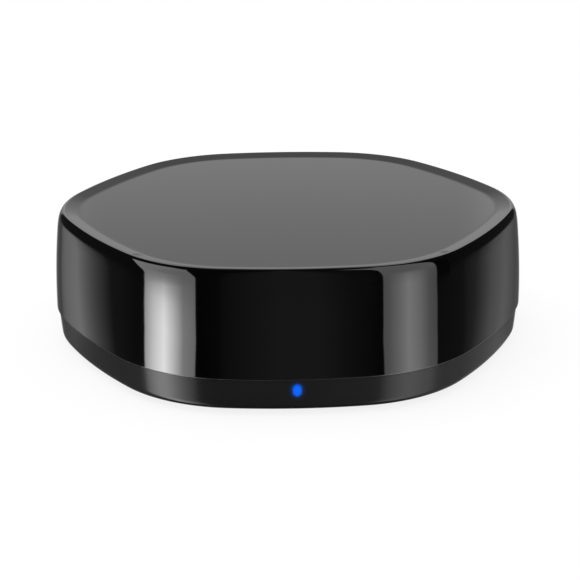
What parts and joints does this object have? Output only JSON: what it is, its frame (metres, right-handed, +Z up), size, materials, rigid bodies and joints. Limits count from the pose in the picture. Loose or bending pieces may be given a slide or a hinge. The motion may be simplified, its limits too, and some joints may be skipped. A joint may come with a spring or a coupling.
{
  "type": "smart ir blaster",
  "caption": "Low six-sided infrared remote-control hub with a glossy dished top, a satin base band, a blue status light, a micro power socket and a reset button.",
  "frame": {"origin": "middle of the foot ring's underside, on the surface that the hub stands on", "axes": "+Z up, -Y to the front with the status light, +Y to the rear with the socket, X across two corners"},
  "size_m": [0.066, 0.0634, 0.019],
  "materials": {
    "gloss_black_shell": "polished",
    "satin_black_base": "satin",
    "foot_rubber": "matt",
    "zinc_screws": "zinc plated",
    "blue_light_pipe": "clear, lit blue",
    "black_button": "satin",
    "green_board": "solder mask",
    "blue_board": "solder mask",
    "chip_epoxy": "moulded",
    "plated_can": "plated",
    "copper_track": "bare",
    "tinned_leads": "tinned",
    "dark_epoxy_lens": "polished",
    "plated_socket": "plated",
    "socket_insulator": "moulded",
    "gold_contacts": "plated",
    "switch_plastic": "moulded",
    "white_plunger": "moulded",
    "spring_steel": "bright",
    "white_led": "moulded",
    "aluminium_can": "satin",
    "capacitor_base": "moulded",
    "resistor_ceramic": "glazed",
    "capacitor_ceramic": "fired",
    "solder": "bright",
    "emitter_epoxy": "clear tinted epoxy"
  },
  "bodies": {
    "root": {"top_shell": "gloss_black_shell", "bottom_shell": "satin_black_base", "foot_ring": "foot_rubber", "case_screws": "zinc_screws", "light_pipe": "blue_light_pipe", "main_board": "green_board", "wifi_board": "blue_board", "wifi_chip": "chip_epoxy", "wifi_flash": "chip_epoxy", "wifi_crystal": "plated_can", "wifi_antenna": "copper_track", "ir_emitter_1": "emitter_epoxy", "ir_emitter_2": "emitter_epoxy", "ir_emitter_3": "emitter_epoxy", "ir_emitter_4": "emitter_epoxy", "ir_emitter_5": "emitter_epoxy", "ir_emitter_6": "emitter_epoxy", "ir_emitter_up": "emitter_epoxy", "emitter_leads": "tinned_leads", "ir_receiver": "dark_epoxy_lens", "receiver_leads": "tinned_leads", "usb_socket_shell": "plated_socket", "usb_insulator": "socket_insulator", "usb_contacts": "gold_contacts", "switch_housing": "switch_plastic", "switch_cover": "plated_socket", "switch_dome": "spring_steel", "switch_terminals": "tinned_leads", "status_led": "white_led", "regulator": "chip_epoxy", "regulator_leads": "tinned_leads", "capacitor_can": "aluminium_can", "capacitor_base": "capacitor_base", "driver_transistors": "chip_epoxy", "transistor_leads": "tinned_leads", "emitter_resistors": "resistor_ceramic", "chip_capacitors": "capacitor_ceramic", "input_diode": "chip_epoxy", "solder_joints": "solder"},
    "reset_button": {"reset_button": "black_button", "switch_plunger": "white_plunger"}
  },
  "joints": [
    {"name": "reset_press", "type": "slide", "parent": "root", "child": "reset_button", "axis": [0, -1, 0], "range_m": [0, 0.00025], "stiffness_N_per_m": 600, "springref_m": -0.0003, "deforming": ["switch_dome"]}
  ]
}
